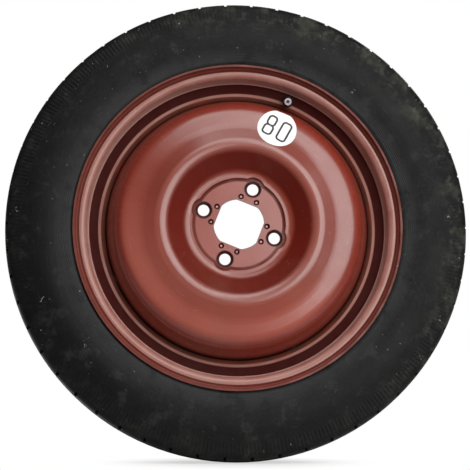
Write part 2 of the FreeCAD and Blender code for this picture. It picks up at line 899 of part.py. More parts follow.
def make_valve_cap():
    """Screw cap with a plain bore in place of its thread, a recess in its end and grip flutes round it."""
    bore = stem_radius + size("cap_clearance")
    outer = bore + size("cap_wall")
    body = new_body("valve_cap")
    section = new_sketch(body, "valve_cap_section")
    recess_floor = cap_end - size("cap_recess_depth")
    outline(section, valve_corners([
        (ZERO, seal_top + core_gap),
        (bore, seal_top + core_gap),
        (bore, cap_foot),
        (outer, cap_foot),
        (outer, cap_end, as_size(0.8)),
        (size("cap_recess") / 2, cap_end, as_size(0.3)),
        (size("cap_recess") / 2, recess_floor),
        (ZERO, recess_floor),
    ]))
    revolve(body, section, "valve_cap_moulding")
    flute = body.newObject("PartDesign::SubtractiveCylinder", "cap_flute")
    flute.setExpression("Radius", (size("cap_flute_width") / 2).text)
    flute.setExpression("Height", (size("cap_length") * 0.7).text)
    reach = outer + size("cap_flute_width") / 4
    flute.setExpression("Placement", f"{place_text(reach, ZERO, ZERO, turn_text(0, 1, 0, ZERO))}"
                        f" * {face_on(cap_foot - size('cap_length') * 0.1)}")
    doc.recompute()
    repeat_round(body, [flute], "cap_grip", size("cap_flutes"))
    body.setExpression("Placement", valve_site)
    return body


def make_cap_seal():
    low = stem_top + core_gap
    return valve_piece("cap_seal", [
        (size("seal_bore") / 2, low),
        (stem_radius, low),
        (stem_radius, seal_top),
        (size("seal_bore") / 2, seal_top),
    ])


# Sticker: thin round label that lies over the bend between the slope and the shelf

def make_sticker():
    layer = new_body("sticker_layer")
    section = new_sketch(layer, "sticker_section")
    corners = disc_corners(size("sticker_gap"))
    corners = [corners[0][:2], corners[1], corners[2][:2]]
    sheet_outline(section, corners, size("sticker_sheet"), False)
    revolve(layer, section, "sticker_turning")
    cutter = doc.addObject("Part::Cylinder", "sticker_cutter")
    length = size("sticker_width")
    cutter.setExpression("Radius", (length / 2).text)
    cutter.setExpression("Height", length.text)
    height = (size("shelf_inner_height") + size("shelf_outer_height")) / 2
    site = on_wheel(size("bolt_angle"), shelf_inner + size("sticker_shift"), -height, size("sticker_lean"))
    cutter.setExpression("Placement", f"{site} * {face_on(-length / 2)}")
    sticker = doc.addObject("Part::Common", "speed_sticker")
    sticker.Base = layer
    sticker.Tool = cutter
    return sticker


PIECES = [
    make_tyre(),
    make_rim(),
    make_disc(),
    make_welds(),
    make_valve_body(),
    make_valve_stem(),
    make_core_plug(),
    make_core_barrel(),
    make_core_gasket(),
    make_core_pin(),
    make_pin_seal(),
    make_core_spring(),
    make_valve_cap(),
    make_cap_seal(),
    make_sticker(),
]
doc.recompute()

for item in doc.Objects:
    if "Invalid" in item.State or "Error" in item.State:
        raise RuntimeError(f"{item.Label} failed: {item.State}")
os.makedirs("parts", exist_ok=True)
for piece in PIECES:
    if piece.Shape.isNull() or not piece.Shape.isValid():
        raise RuntimeError(f"{piece.Label} has no valid shape")
    piece.Shape.exportStep(f"parts/{piece.Label}.step")
    solids = len(piece.Shape.Solids)
    print(f"{piece.Label}: {solids} solid(s), {piece.Shape.Volume:.2f} mm3")
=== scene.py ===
import json
import math

import bpy
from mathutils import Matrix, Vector
from mathutils.bvhtree import BVHTree


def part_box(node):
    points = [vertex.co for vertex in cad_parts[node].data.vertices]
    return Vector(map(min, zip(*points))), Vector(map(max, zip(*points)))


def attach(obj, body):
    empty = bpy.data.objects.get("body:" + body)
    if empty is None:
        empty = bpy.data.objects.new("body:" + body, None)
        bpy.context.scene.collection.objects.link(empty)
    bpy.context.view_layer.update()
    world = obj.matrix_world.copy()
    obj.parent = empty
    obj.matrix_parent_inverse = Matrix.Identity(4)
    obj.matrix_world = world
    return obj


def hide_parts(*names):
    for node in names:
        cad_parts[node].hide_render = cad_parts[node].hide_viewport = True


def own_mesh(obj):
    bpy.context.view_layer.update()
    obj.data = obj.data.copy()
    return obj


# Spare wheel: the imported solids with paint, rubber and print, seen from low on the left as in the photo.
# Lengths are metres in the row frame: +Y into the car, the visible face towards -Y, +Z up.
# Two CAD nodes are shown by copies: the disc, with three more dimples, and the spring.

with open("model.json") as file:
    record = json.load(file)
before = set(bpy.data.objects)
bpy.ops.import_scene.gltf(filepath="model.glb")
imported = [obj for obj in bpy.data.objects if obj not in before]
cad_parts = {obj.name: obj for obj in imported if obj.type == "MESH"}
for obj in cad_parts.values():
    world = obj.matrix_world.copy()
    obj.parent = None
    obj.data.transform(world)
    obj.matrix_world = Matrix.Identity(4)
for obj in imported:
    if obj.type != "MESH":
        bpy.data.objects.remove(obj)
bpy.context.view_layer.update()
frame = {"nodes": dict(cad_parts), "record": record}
nodes = frame["nodes"]

TYRE_LOW, TYRE_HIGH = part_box("tyre")
TYRE_MIDDLE = (TYRE_LOW[1] + TYRE_HIGH[1]) / 2
FLOOR_LEVEL = TYRE_LOW[2]
DISC_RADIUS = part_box("wheel_disc")[1][0]
MOUNTS = {mount["name"]: mount for mount in frame["record"]["mounts"]}
VALVE_END = MOUNTS["valve_end"]
BOLT_ANGLE = math.atan2(VALVE_END["pos_m"][2], VALVE_END["pos_m"][0])
BOLT_RADIUS = MOUNTS["hub_bolts"]["dims"]["pcd_mm"] / 2000


# Places on the wheel that the materials follow: radii about the axle, unless the name says otherwise

HUB_FACE_DEPTH = -0.004
HUB_RADIUS = 0.061
LOBE_RADIUS = 0.0154
HOLE_FLAT = 0.03
HOLE_CORNER = 0.0335
BOLT_EDGE = (0.0066, 0.0079)
BOLT_SEAT = (0.0079, 0.0116)
DIMPLE_RADIUS = 0.037
DIMPLE_SPREAD = math.radians(17.2)
DIMPLE_WALL = (0.0019, 0.0036)
DIMPLE_MIDDLE = (0.0008, 0.0015)
VALLEY = (0.072, 0.090)
CREST = (0.098, 0.106)
CREST_CHIPPED = (0.096, 0.106)
CREST_DEPTH = (-0.024, -0.018)
SHELF = (0.112, 0.158)
WELL_LEDGE = 0.1865
WELL_SEAT = 0.1975
WELL_DEPTH = (0.002, 0.012)
FRONT_DEPTH = (0.02, 0.03)
FLANGE_FOOT = 0.1985
FLANGE_TOP = 0.2085
FLANGE_EDGE = 0.2115

TYRE_FOOT = (0.222, 0.246)
TYRE_WALL = (0.24, 0.298)
TYRE_STAINED = (0.25, 0.298)
TYRE_MOTTLED = (0.262, 0.29)
RING_BAND = (0.224, 0.2325)
RING_PITCH = 0.0024
RIB_BAND = (0.2835, 0.2985)
RIB_COUNT = 360.0

THREAD_PITCH = 0.00079375
THREAD_RADIUS = VALVE_END["dims"]["r_mm"] / 1000
CAP_RECESS = (0.0018, 0.0023)


# Colours

def linear(red, green, blue):
    """A colour given in screen values from 0 to 255, as the linear values that shaders take."""
    def channel(value):
        value = value / 255
        return value / 12.92 if value <= 0.04045 else ((value + 0.055) / 1.055) ** 2.4
    return (channel(red), channel(green), channel(blue), 1.0)


# Painted shade and light: the first two reds go on the steep walls, the third on outward-facing flats.
SHADED_DEEP_RED = linear(104, 21, 5)
SHADED_WALL_RED = linear(134, 41, 25)
LIT_FLAT_RED = linear(137, 58, 43)
CREST_HIGHLIGHT_PINK = linear(186, 112, 98)
BOUNCE_LIT_RED = linear(206, 112, 96)
SPECKLE_RED = linear(62, 16, 11)
FILM_BROWN = linear(128, 84, 68)
DRAWN_RED = linear(158, 76, 60)
SCRATCH_PINK = linear(188, 140, 128)
WELL_SHADE_BLACK = linear(44, 1, 0)
WELL_GRIME = linear(66, 42, 32)
LEDGE_DUST_AND_HIGHLIGHT = linear(176, 132, 120)
GAP_SHADE_BLACK = linear(14, 6, 5)
SCUFF_AND_HIGHLIGHT_PINK = linear(172, 124, 112)
FLANGE_HIGHLIGHT_PINK = linear(232, 184, 172)
CURL_SHADE_AND_DIRT_RED = linear(58, 20, 15)
LIP_BROWN = linear(96, 60, 53)
HUB_FACE_PALE_RED = linear(184, 104, 92)
STEP_SHADE_BROWN = linear(84, 34, 25)
STEP_HIGHLIGHT_PINK = linear(176, 108, 94)
SEAT_SHADE_BROWN = linear(52, 20, 15)
DIMPLE_SHADE_DARK = linear(40, 11, 7)
DIMPLE_HIGHLIGHT_PALE = linear(214, 166, 156)
BARE_STEEL = linear(122, 108, 101)

TYRE_BLACK = linear(20, 20, 21)
TYRE_DUST = linear(36, 36, 37)
TYRE_FOOT_GREY = linear(52, 52, 53)
TYRE_SHOULDER_SHADE = linear(13, 13, 13)
STAIN_AND_LIGHT_OLIVE = linear(76, 77, 66)
MOTTLE_AND_LIGHT_GREY = linear(92, 92, 82)
SMUDGE_BLACK = linear(10, 10, 10)
SMUDGE_GREY = linear(58, 58, 57)
WIPED_GREY = linear(66, 66, 66)
NICK_PALE = linear(160, 160, 150)

CAP_GREY = linear(176, 162, 172)
CAP_PALE = linear(205, 194, 204)
CAP_RECESS_SHADE = linear(24, 15, 26)
BRASS_DARK = linear(150, 126, 78)
BRASS_PALE = linear(182, 156, 100)
VALVE_BLACK = linear(17, 16, 18)
STEEL_GREY = linear(170, 170, 172)
FILM_WHITE = linear(253, 253, 252)
INK_BLACK = linear(16, 18, 20)
FLOOR_WHITE = linear(247, 247, 247)


# Node graph helpers

class Graph:
    """Builds a material's shader graph from short calls."""

    def __init__(self, name):
        self.material = bpy.data.materials.new(name)
        self.material.use_nodes = True
        self.tree = self.material.node_tree
        self.shader = self.tree.nodes["Principled BSDF"]
        spot = self.add("ShaderNodeTexCoord")
        self.place = spot.outputs["Object"]
        self.facing = spot.outputs["Normal"]
        self.base = None

    def add(self, kind, **settings):
        node = self.tree.nodes.new(kind)
        for key, value in settings.items():
            setattr(node, key, value)
        return node

    def feed(self, socket, value):
        """Link a socket to another one, or give it a plain value."""
        if isinstance(value, bpy.types.NodeSocket):
            self.tree.links.new(value, socket)
        else:
            socket.default_value = value

    def set(self, name, value):
        self.feed(self.shader.inputs[name], value)

    def maths(self, operation, first, second=0.0):
        node = self.add("ShaderNodeMath", operation=operation)
        self.feed(node.inputs[0], first)
        self.feed(node.inputs[1], second)
        return node.outputs[0]

    def times(self, *factors):
        product = factors[0]
        for factor in factors[1:]:
            product = self.maths("MULTIPLY", product, factor)
        return product

    def without(self, share):
        """What a share leaves of one."""
        return self.maths("SUBTRACT", 1.0, share)

    def either(self, *values):
        """The largest of several values."""
        largest = values[0]
        for value in values[1:]:
            largest = self.maths("MAXIMUM", largest, value)
        return largest

    def weighted(self, first, weight, second, other_weight):
        """Sum of two values with their weights."""
        return self.maths("ADD", self.times(first, weight), self.times(second, other_weight))

    def length(self, x, y):
        return self.maths("SQRT", self.maths("ADD", self.times(x, x), self.times(y, y)))

    def parts(self, vector):
        node = self.add("ShaderNodeSeparateXYZ")
        self.feed(node.inputs[0], vector)
        return node.outputs[0], node.outputs[1], node.outputs[2]

    def joined(self, x, y, z):
        node = self.add("ShaderNodeCombineXYZ")
        for socket, value in zip(node.inputs, (x, y, z)):
            self.feed(socket, value)
        return node.outputs[0]

    def scaled(self, x, y, z):
        """The place with each axis stretched."""
        node = self.add("ShaderNodeMapping")
        self.feed(node.inputs["Vector"], self.place)
        node.inputs["Scale"].default_value = (x, y, z)
        return node.outputs[0]

    def polar(self):
        """Radius, angle and depth about the axle."""
        x, y, z = self.parts(self.place)
        return self.length(x, z), self.maths("ARCTAN2", z, x), y

    def folded(self):
        """Place on the hub folded onto one bolt: the distance towards that bolt and the distance across."""
        x, _, z = self.parts(self.place)
        cosine, sine = math.cos(BOLT_ANGLE), math.sin(BOLT_ANGLE)
        along = self.maths("ABSOLUTE", self.weighted(x, cosine, z, sine))
        across = self.maths("ABSOLUTE", self.weighted(x, -sine, z, cosine))
        return self.maths("MAXIMUM", along, across), self.maths("MINIMUM", along, across)

    def reach(self, place, x, y):
        """Distance of a folded place from a point."""
        return self.length(self.maths("SUBTRACT", place[0], x), self.maths("SUBTRACT", place[1], y))

    def on_valve(self):
        """How far a point is along the valve from its end, and away from the valve's axis."""
        offset = self.add("ShaderNodeVectorMath", operation="SUBTRACT")
        self.feed(offset.inputs[0], self.place)
        self.feed(offset.inputs[1], VALVE_END["pos_m"])
        along = self.add("ShaderNodeVectorMath", operation="DOT_PRODUCT")
        across = self.add("ShaderNodeVectorMath", operation="CROSS_PRODUCT")
        for product in (along, across):
            self.feed(product.inputs[0], offset.outputs[0])
            self.feed(product.inputs[1], VALVE_END["axis"])
        span = self.add("ShaderNodeVectorMath", operation="LENGTH")
        self.feed(span.inputs[0], across.outputs[0])
        return along.outputs["Value"], span.outputs["Value"]

    def noise(self, place, scale, detail=4.0, roughness=0.55, distortion=0.0):
        node = self.add("ShaderNodeTexNoise")
        self.feed(node.inputs["Vector"], place)
        self.feed(node.inputs["Scale"], scale)
        self.feed(node.inputs["Detail"], detail)
        self.feed(node.inputs["Roughness"], roughness)
        self.feed(node.inputs["Distortion"], distortion)
        return node.outputs["Fac"]

    def ramp(self, value, low, high, start=0.0, end=1.0):
        """Smooth step of a value from start to end as it goes from low to high."""
        node = self.add("ShaderNodeMapRange", interpolation_type="SMOOTHSTEP")
        for socket, number in zip(node.inputs, (value, low, high, start, end)):
            self.feed(socket, number)
        return node.outputs[0]

    def fall(self, value, low, high):
        """One up to low, then down to zero at high."""
        return self.ramp(value, low, high, 1.0, 0.0)

    def band(self, value, low, high, soft):
        """One between low and high, fading to zero over a soft edge."""
        return self.times(self.ramp(value, low - soft, low), self.fall(value, high, high + soft))

    def mix(self, factor, first, second):
        node = self.add("ShaderNodeMix", data_type="RGBA")
        self.feed(node.inputs[0], factor)
        self.feed(node.inputs[6], first)
        self.feed(node.inputs[7], second)
        return node.outputs[2]

    def lay(self, colour, *shares):
        """Cover the base colour with another one, by the product of some shares."""
        self.base = self.mix(self.times(*shares), self.base, colour)

    def bump(self, height, distance, strength=1.0, below=None):
        """A normal bent by a height, on top of another normal if one is given."""
        node = self.add("ShaderNodeBump")
        self.feed(node.inputs["Height"], height)
        node.inputs["Distance"].default_value = distance
        node.inputs["Strength"].default_value = strength
        if below is not None:
            self.feed(node.inputs["Normal"], below)
        return node.outputs[0]


# Paint of the rim, disc and welds

def lay_lit_and_shaded_red(g, radius, depth, patches):
    """Painted shade: deep red on the steep walls; painted light: paler red where the metal faces outward.
    Returns the share painted as lit.
    """
    x, _, z = g.parts(g.place)
    outward = g.times(g.parts(g.facing)[1], -1.0)
    lit_facing = g.times(g.ramp(outward, 0.78, 0.97), g.ramp(patches, 0.3, 0.7, 0.75, 1.0))
    wall = g.mix(g.ramp(radius, 0.1, 0.15), SHADED_DEEP_RED, SHADED_WALL_RED)
    g.base = g.mix(lit_facing, wall, LIT_FLAT_RED)
    # Painted highlight: a broad pale band along the crest.
    g.lay(CREST_HIGHLIGHT_PINK, g.band(radius, *CREST, soft=0.007), g.fall(depth, *CREST_DEPTH), 0.22)
    # Painted bounce light: the outward-facing shelf paler towards the bottom.
    lower = g.weighted(z, 0.9, x, 0.35)
    g.lay(BOUNCE_LIT_RED, lit_facing, g.band(radius, *SHELF, soft=0.008), g.fall(lower, -0.10, 0.03), 0.42)
    speckle = g.noise(g.place, scale=420.0, detail=3.0)
    g.lay(SPECKLE_RED, g.ramp(speckle, 0.62, 0.75), 0.35)
    film = g.noise(g.place, scale=5.0, detail=6.0, roughness=0.65, distortion=0.4)
    g.lay(FILM_BROWN, g.ramp(film, 0.48, 0.7), g.ramp(radius, 0.06, 0.09), 0.3)
    return lit_facing


def lay_scratches(g, radius, angle, depth, patches):
    """Streaks from the press and fine scratches. Returns the share of each."""
    along = g.joined(g.times(angle, 9.0), g.times(radius, 4.0), g.times(depth, 4.0))
    streaks = g.noise(along, scale=9.0, detail=3.0, roughness=0.6)
    drawn = g.times(g.ramp(streaks, 0.45, 0.72), g.ramp(radius, 0.1, 0.13))
    g.lay(DRAWN_RED, drawn, 0.2)
    around = g.joined(g.times(angle, 0.35), g.times(radius, 26.0), g.times(depth, 26.0))
    scratch = g.noise(around, scale=34.0, detail=2.0, roughness=0.5, distortion=0.3)
    crossing = g.noise(g.scaled(6.0, 90.0, 60.0), scale=3.0, detail=3.0, roughness=0.6, distortion=0.6)
    lines = g.either(g.ramp(scratch, 0.69, 0.75), g.ramp(crossing, 0.72, 0.76))
    marks = g.times(lines, g.ramp(patches, 0.42, 0.6))
    g.lay(SCRATCH_PINK, marks, 0.4)
    return drawn, marks


def lay_rim_dirt_and_painted_light(g, radius, depth, uneven):
    """Painted shade in the well, the crevice and the flange's curl, grime in the well, dust with a painted
    highlight on the ledge, and scuffs and painted highlights on the flange. Returns the dirt with the
    painted shade, and the scuffed and lit share.
    """
    well = g.ramp(depth, *WELL_DEPTH)
    front = g.fall(depth, *FRONT_DEPTH)
    # Painted shade: a near-black band on the well's wall between the ledge and the bead seat.
    well_shade = g.times(g.band(radius, WELL_LEDGE, WELL_SEAT, 0.002), well)
    g.lay(WELL_SHADE_BLACK, well_shade, 0.92)
    grime = g.times(g.band(radius, DISC_RADIUS + 0.001, WELL_LEDGE - 0.005, 0.002), well)
    g.lay(WELL_GRIME, grime, uneven, 0.85)
    # A thin pale ring at the ledge's edge: dust and a painted highlight.
    ledge_dust_and_highlight = g.times(g.band(radius, WELL_LEDGE - 0.0035, WELL_LEDGE - 0.0015, 0.0014), well)
    g.lay(LEDGE_DUST_AND_HIGHLIGHT, ledge_dust_and_highlight, uneven, 0.8)
    # Painted shade: near black in the crevice where the disc meets the rim.
    gap_shade = g.band(radius, DISC_RADIUS - 0.003, DISC_RADIUS + 0.0005, 0.001)
    gap_shade = g.times(gap_shade, g.ramp(depth, *FRONT_DEPTH))
    g.lay(GAP_SHADE_BLACK, gap_shade, 0.9)
    # The flange face paler: scuffs and a painted highlight.
    scuffed_and_lit = g.times(g.band(radius, FLANGE_FOOT, FLANGE_TOP, 0.0012), front, uneven)
    g.lay(SCUFF_AND_HIGHLIGHT_PINK, scuffed_and_lit, 0.85)
    # Painted highlight: a thin bright line on the flange's rounded foot.
    flange_highlight = g.band(radius, FLANGE_FOOT - 0.0004, FLANGE_FOOT + 0.0008, 0.0008)
    g.lay(FLANGE_HIGHLIGHT_PINK, flange_highlight, front, 0.7)
    # A dark band in the flange's curl: dirt and painted shade.
    curl_shade_and_dirt = g.times(g.band(radius, FLANGE_TOP + 0.0012, FLANGE_EDGE, 0.001), front)
    g.lay(CURL_SHADE_AND_DIRT_RED, curl_shade_and_dirt, 0.7)
    lip = g.times(g.ramp(radius, FLANGE_EDGE + 0.0006, FLANGE_EDGE + 0.0016), front, uneven)
    g.lay(LIP_BROWN, lip, 0.75)
    return g.either(well_shade, grime, ledge_dust_and_highlight, gap_shade, curl_shade_and_dirt, lip), scuffed_and_lit


def lay_hub_marks(g, radius, lit_facing, uneven):
    """Paler hub face, painted shade in the step's corner, round the bolt seats and on the dimple walls,
    painted highlights outside the step and on the dimple floors, and bare edges. Returns the painted shade
    and bare metal.
    """
    hub = g.folded()
    bolt = g.reach(hub, BOLT_RADIUS, 0.0)
    past_hub = g.maths("SUBTRACT", radius, HUB_RADIUS)
    step = g.maths("MINIMUM", past_hub, g.maths("SUBTRACT", bolt, LOBE_RADIUS))
    # Paler hub face where the metal faces outward.
    g.lay(HUB_FACE_PALE_RED, lit_facing, g.fall(step, -0.004, -0.002), 0.42)
    # Painted shade: a dark band in the corner of the hub's step.
    corner = g.times(g.band(step, -0.0032, 0.0, 0.0014), uneven)
    g.lay(STEP_SHADE_BROWN, corner, 0.8)
    # Painted highlight: a pale band on the rounded rim outside the step.
    g.lay(STEP_HIGHLIGHT_PINK, g.band(step, 0.0012, 0.0045, 0.0012), 0.45)
    # Painted shade: a dark ring round each bolt seat.
    g.lay(SEAT_SHADE_BROWN, g.band(bolt, *BOLT_SEAT, soft=0.0006), 0.75)
    dimple = g.reach(hub, DIMPLE_RADIUS * math.cos(DIMPLE_SPREAD), DIMPLE_RADIUS * math.sin(DIMPLE_SPREAD))
    # Painted shade: a dark ring on each dimple's sloping wall.
    dimple_shade = g.band(dimple, *DIMPLE_WALL, soft=0.0005)
    g.lay(DIMPLE_SHADE_DARK, dimple_shade, 0.9)
    # Painted highlight: a pale dot on each dimple's floor.
    g.lay(DIMPLE_HIGHLIGHT_PALE, g.ramp(dimple, *DIMPLE_MIDDLE, 0.75, 0.0))
    bare = g.fall(hub[0], HOLE_FLAT + 0.0006, HOLE_FLAT + 0.0012)
    bare = g.times(bare, g.fall(radius, HOLE_CORNER + 0.0006, HOLE_CORNER + 0.0012))
    chips = g.ramp(g.noise(g.place, scale=85.0, detail=3.0, roughness=0.7, distortion=0.8), 0.70, 0.73)
    lip = g.ramp(radius, FLANGE_EDGE, FLANGE_EDGE + 0.002)
    edges = g.either(g.band(radius, *CREST_CHIPPED, soft=0.003), lip)
    worn = g.band(bolt, *BOLT_EDGE, soft=0.0004)
    metal = g.either(g.times(worn, 0.8), g.times(bare, 0.7), g.times(chips, edges, 0.75))
    g.lay(BARE_STEEL, metal)
    return g.either(dimple_shade, corner), metal


def paint():
    """Red semi-gloss wheel paint, with painted light on the outward-facing flats and painted shade on the
    walls, scratches, chips, dirt in the well and painted shade in the corners.
    """
    g = Graph("wheel_paint")
    radius, angle, depth = g.polar()
    patches = g.noise(g.place, scale=9.0, detail=5.0)
    uneven = g.ramp(g.noise(g.place, scale=30.0), 0.2, 0.7, 0.55, 1.0)
    lit_facing = lay_lit_and_shaded_red(g, radius, depth, patches)
    drawn, marks = lay_scratches(g, radius, angle, depth, patches)
    rim_dirt_and_shade, scuffed_and_lit = lay_rim_dirt_and_painted_light(g, radius, depth, uneven)
    hub_shade, metal = lay_hub_marks(g, radius, lit_facing, uneven)
    dirt_and_shade = g.either(rim_dirt_and_shade, hub_shade)
    g.set("Base Color", g.base)
    dull = g.ramp(g.noise(g.place, scale=60.0, detail=5.0), 0.3, 0.75, 0.36, 0.5)
    g.set("Roughness", g.maths("ADD", dull, g.times(dirt_and_shade, 0.45)))
    g.set("Specular IOR Level", 0.22)
    coat = g.without(g.either(dirt_and_shade, g.times(metal, 0.6), g.times(scuffed_and_lit, 0.5)))
    coat = g.times(coat, g.ramp(patches, 0.3, 0.7, 0.8, 1.0))
    valley = g.band(radius, *VALLEY, soft=0.006)
    coat = g.times(coat, g.without(g.times(valley, 0.65)), g.without(g.times(drawn, 0.25)))
    g.set("Coat Weight", coat)
    g.set("Coat Roughness", 0.25)
    g.set("Coat IOR", 1.6)
    peel = g.bump(g.noise(g.place, scale=700.0, detail=2.0), 0.00004)
    dents = g.bump(g.noise(g.place, scale=16.0, detail=2.0), 0.0009, 0.5, peel)
    g.set("Normal", g.bump(g.maths("ADD", marks, metal), 0.00008, 1.0, dents))
    return g.material


# Other materials

def tyre_rubber():
    """Black rubber with moulded rings and ribs on the wall, dust, painted shade towards the tread, stains
    near the tread that are partly painted light on the upper right, and pale nicks.
    """
    g = Graph("tyre_rubber")
    radius, angle, depth = g.polar()
    x, _, z = g.parts(g.place)
    cloud = g.noise(g.place, scale=7.0, detail=6.0, roughness=0.6)
    grain = g.noise(g.place, scale=260.0, roughness=0.6)
    g.base = g.mix(g.times(g.ramp(cloud, 0.35, 0.75), g.ramp(grain, 0.3, 0.75)), TYRE_BLACK, TYRE_DUST)
    g.lay(TYRE_FOOT_GREY, g.fall(radius, *TYRE_FOOT), g.ramp(cloud, 0.3, 0.6, 0.4, 0.8))
    # Painted shade: the wall darker towards the tread.
    g.lay(TYRE_SHOULDER_SHADE, g.ramp(radius, *TYRE_WALL), 0.7)
    # Stains and mottling near the tread, strongest on the upper right where the light falls: real stains and
    # painted light.
    sunny = g.ramp(g.weighted(x, 0.8, z, 0.6), -0.05, 0.25, 0.15, 1.0)
    stains = g.ramp(g.noise(g.place, scale=24.0, detail=6.0, roughness=0.7), 0.46, 0.68)
    g.lay(STAIN_AND_LIGHT_OLIVE, g.ramp(radius, *TYRE_STAINED), stains, sunny, 0.6)
    mottle = g.ramp(g.noise(g.place, scale=70.0, roughness=0.65), 0.5, 0.7)
    g.lay(MOTTLE_AND_LIGHT_GREY, g.ramp(radius, *TYRE_MOTTLED), mottle, sunny, 0.35)
    smudge = g.noise(g.place, scale=38.0, detail=6.0, roughness=0.7)
    g.lay(SMUDGE_BLACK, g.ramp(smudge, 0.5, 0.68, 0.0, 0.6))
    g.lay(SMUDGE_GREY, g.ramp(smudge, 0.32, 0.46, 0.4, 0.0))
    around = g.joined(g.times(angle, 2.2), g.times(radius, 60.0), depth)
    wiped = g.noise(around, scale=5.0, detail=5.0, roughness=0.65)
    g.lay(WIPED_GREY, g.ramp(wiped, 0.58, 0.75), 0.3)
    nicks = g.noise(g.place, scale=150.0, detail=2.0, roughness=0.6, distortion=1.2)
    g.lay(NICK_PALE, g.ramp(nicks, 0.725, 0.76), 0.75)
    g.set("Base Color", g.base)
    g.set("Roughness", g.ramp(cloud, 0.3, 0.7, 0.46, 0.64))
    g.set("Specular IOR Level", 0.15)
    rings = g.maths("SINE", g.times(radius, 2 * math.pi / RING_PITCH))
    rings = g.times(rings, g.band(radius, *RING_BAND, soft=0.0008))
    ribs = g.times(g.maths("SINE", g.times(angle, RIB_COUNT)), g.band(radius, *RIB_BAND, soft=0.001))
    moulded = g.bump(g.weighted(rings, 0.25, ribs, 0.5), 0.0004, 0.7)
    g.set("Normal", g.bump(grain, 0.0004, 0.6, moulded))
    return g.material


def cap_plastic():
    """Pale plastic with painted shade in the recess in its end."""
    g = Graph("cap_plastic")
    _, away = g.on_valve()
    cloud = g.noise(g.place, scale=500.0, detail=3.0)
    g.base = g.mix(g.ramp(cloud, 0.3, 0.7), CAP_GREY, CAP_PALE)
    # Painted shade: dark in the recess at the cap's end.
    g.lay(CAP_RECESS_SHADE, g.ramp(away, *CAP_RECESS, 0.95, 0.0))
    g.set("Base Color", g.base)
    g.set("Roughness", 0.5)
    g.set("Normal", g.bump(g.noise(g.place, scale=900.0, detail=2.0), 0.00003))
    return g.material


def threaded_brass():
    """Brass with the turns of a fine thread on the outside of the stem."""
    g = Graph("valve_brass")
    along, away = g.on_valve()
    turns = g.maths("SINE", g.times(along, 2 * math.pi / THREAD_PITCH))
    outside = g.ramp(away, THREAD_RADIUS - 0.0008, THREAD_RADIUS - 0.0004)
    cloud = g.noise(g.place, scale=90.0, detail=3.0)
    g.set("Base Color", g.mix(g.ramp(cloud, 0.3, 0.7), BRASS_DARK, BRASS_PALE))
    g.set("Roughness", g.ramp(cloud, 0.3, 0.7, 0.3, 0.42))
    g.set("Metallic", 1.0)
    g.set("Normal", g.bump(g.times(turns, outside), 0.0002))
    return g.material


def plain(name, colour, roughness, metallic=0.0, grain=300.0, depth=0.00003, darkest=0.75):
    """A simple finish with a fine grain and a little variation in its colour and gloss."""
    g = Graph(name)
    cloud = g.noise(g.place, scale=grain * 0.3, detail=3.0)
    darker = tuple(channel * darkest for channel in colour[:3]) + (1.0,)
    g.set("Base Color", g.mix(g.ramp(cloud, 0.3, 0.7), darker, colour))
    g.set("Roughness", g.ramp(cloud, 0.3, 0.7, roughness * 0.85, roughness * 1.15))
    g.set("Metallic", metallic)
    g.set("Normal", g.bump(g.noise(g.place, scale=grain, detail=3.0), depth))
    return g.material


FINISHES = {
    "wheel_paint": paint(),
    "tyre_rubber": tyre_rubber(),
    "valve_rubber": plain("valve_rubber", VALVE_BLACK, 0.6),
    "valve_metal": threaded_brass(),
    "pin_metal": plain("pin_steel", STEEL_GREY, 0.3, metallic=1.0),
    "cap_plastic": cap_plastic(),
    "sticker_film": plain("sticker_film", FILM_WHITE, 0.45, grain=120.0, depth=0.00001, darkest=0.95),
}
INK = plain("sticker_ink", INK_BLACK, 0.5)

for part in frame["record"]["subparts"]:
    materials = nodes[part["node"]].data.materials
    materials.clear()
    materials.append(FINISHES[part["material_slot"]])


# Pieces shown in place of CAD nodes: the disc with the three dimples it lacks, and a copy of the spring

DIMPLE_WIDTH = 0.0070
DIMPLE_FLOOR = 0.0034
DIMPLE_DEPTH = 0.0016
DIMPLE_SIDES = 40
MISSING_QUARTERS = (1, 2, 3)
CUT_PAST = 0.0005
SAME_FACE = 0.99
SAME_SPOT_DIGITS = 7


def add_piece(name, data):
    """A new object in the scene."""
    piece = bpy.data.objects.new(name, data)
    bpy.context.scene.collection.objects.link(piece)
    return piece


def stand_in(node, name, mesh):
    """A piece that is shown in place of a CAD node."""
    piece = add_piece(name, mesh)
    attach(piece, "wheel")
    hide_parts(node)
    return piece


def dimple_cutter(turns):
    """Cones that sink a dimple at each turn about the axle, from just outside the hub face."""
    floor_radius = DIMPLE_FLOOR / 2
    slope = (DIMPLE_WIDTH - DIMPLE_FLOOR) / 2 / DIMPLE_DEPTH
    mouth_radius = floor_radius + slope * (DIMPLE_DEPTH + CUT_PAST)
    rings = ((floor_radius, HUB_FACE_DEPTH + DIMPLE_DEPTH), (mouth_radius, HUB_FACE_DEPTH - CUT_PAST))
    points, faces = [], []
    for turn in turns:
        first = len(points)
        for radius, level in rings:
            for side in range(DIMPLE_SIDES):
                angle = 2 * math.pi * side / DIMPLE_SIDES
                x = DIMPLE_RADIUS * math.cos(turn) + radius * math.cos(angle)
                z = DIMPLE_RADIUS * math.sin(turn) + radius * math.sin(angle)
                points.append((x, level, z))
        inner = [first + side for side in range(DIMPLE_SIDES)]
        outer = [index + DIMPLE_SIDES for index in inner]
        faces += [inner[::-1], outer]
        for side in range(DIMPLE_SIDES):
            after = (side + 1) % DIMPLE_SIDES
            faces.append((inner[side], inner[after], outer[after], outer[side]))
    mesh = bpy.data.meshes.new("dimple_cutter")
    mesh.from_pydata(points, [], faces)
    return mesh


